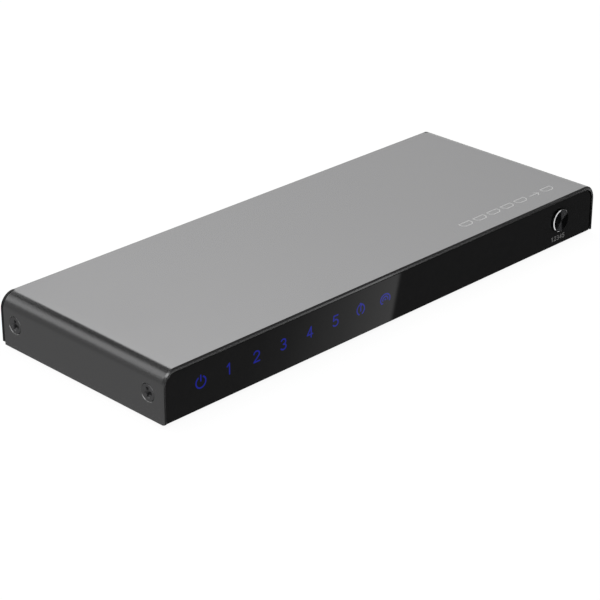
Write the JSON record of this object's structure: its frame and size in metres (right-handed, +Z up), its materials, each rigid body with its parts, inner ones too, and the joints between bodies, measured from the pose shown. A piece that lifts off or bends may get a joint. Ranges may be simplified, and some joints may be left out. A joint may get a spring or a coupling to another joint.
{
  "type": "video switch box",
  "caption": "Low bent-metal video switch box with a gloss front panel, lit source icons, a push button that picks the source, and video and power sockets on its rear.",
  "frame": {"origin": "centre of the box's footprint, on the surface that the feet stand on", "axes": "+Z up, front panel towards -Y, sockets towards +Y, +X to the right as seen from the front"},
  "size_m": [0.199, 0.0762, 0.0182],
  "materials": {
    "cover_paint": "satin fine-grained grey",
    "dark_screw": "dull dark plating",
    "tray_black": "satin black powder coat",
    "panel_acrylic": "polished black acrylic",
    "adhesive": "matt black foam",
    "bright_steel": "bright zinc plating",
    "spacer_brass": "machined",
    "board_laminate": "green solder mask",
    "socket_steel": "bright nickel plating",
    "socket_plastic": "moulded black",
    "contact_gold": "gold plating",
    "jack_plastic": "moulded black",
    "jack_metal": "bright nickel plating",
    "button_metal": "turned face, dark anodised, bright cut chamfer",
    "switch_plastic": "moulded black",
    "mask_plastic": "moulded black",
    "lamp_blue": "clear blue resin",
    "receiver_resin": "dark tinted resin",
    "chip_resin": "moulded epoxy",
    "can_metal": "drawn can",
    "coil_ferrite": "sintered ferrite",
    "foot_rubber": "matt black"
  },
  "bodies": {
    "housing": {"top_cover": "cover_paint", "cover_screws": "dark_screw", "base_tray": "tray_black", "rear_panel": "tray_black", "front_panel": "panel_acrylic", "panel_tape": "adhesive", "flange_screws": "bright_steel", "board_screws": "bright_steel", "board_spacers": "spacer_brass", "main_board": "board_laminate", "input_1_shell": "socket_steel", "input_2_shell": "socket_steel", "input_3_shell": "socket_steel", "input_4_shell": "socket_steel", "input_5_shell": "socket_steel", "output_shell": "socket_steel", "input_1_insulator": "socket_plastic", "input_2_insulator": "socket_plastic", "input_3_insulator": "socket_plastic", "input_4_insulator": "socket_plastic", "input_5_insulator": "socket_plastic", "output_insulator": "socket_plastic", "input_1_contacts": "contact_gold", "input_2_contacts": "contact_gold", "input_3_contacts": "contact_gold", "input_4_contacts": "contact_gold", "input_5_contacts": "contact_gold", "output_contacts": "contact_gold", "jack_leaf": "contact_gold", "jack_housing": "jack_plastic", "jack_pin": "jack_metal", "select_switch": "switch_plastic", "light_mask": "mask_plastic", "status_lamps": "lamp_blue", "infrared_receiver": "receiver_resin", "video_chip": "chip_resin", "control_chip": "chip_resin", "crystal": "can_metal", "storage_capacitors": "can_metal", "power_coil": "coil_ferrite", "foot_front_left": "foot_rubber", "foot_front_right": "foot_rubber", "foot_rear_left": "foot_rubber", "foot_rear_right": "foot_rubber"},
    "button": {"select_button": "button_metal", "switch_plunger": "switch_plastic"}
  },
  "joints": [
    {"name": "select_press", "type": "slide", "parent": "housing", "child": "button", "axis": [0, 1, 0], "range_m": [0, 0.0005], "stiffness_N_per_m": 1000, "springref_m": -0.001}
  ]
}
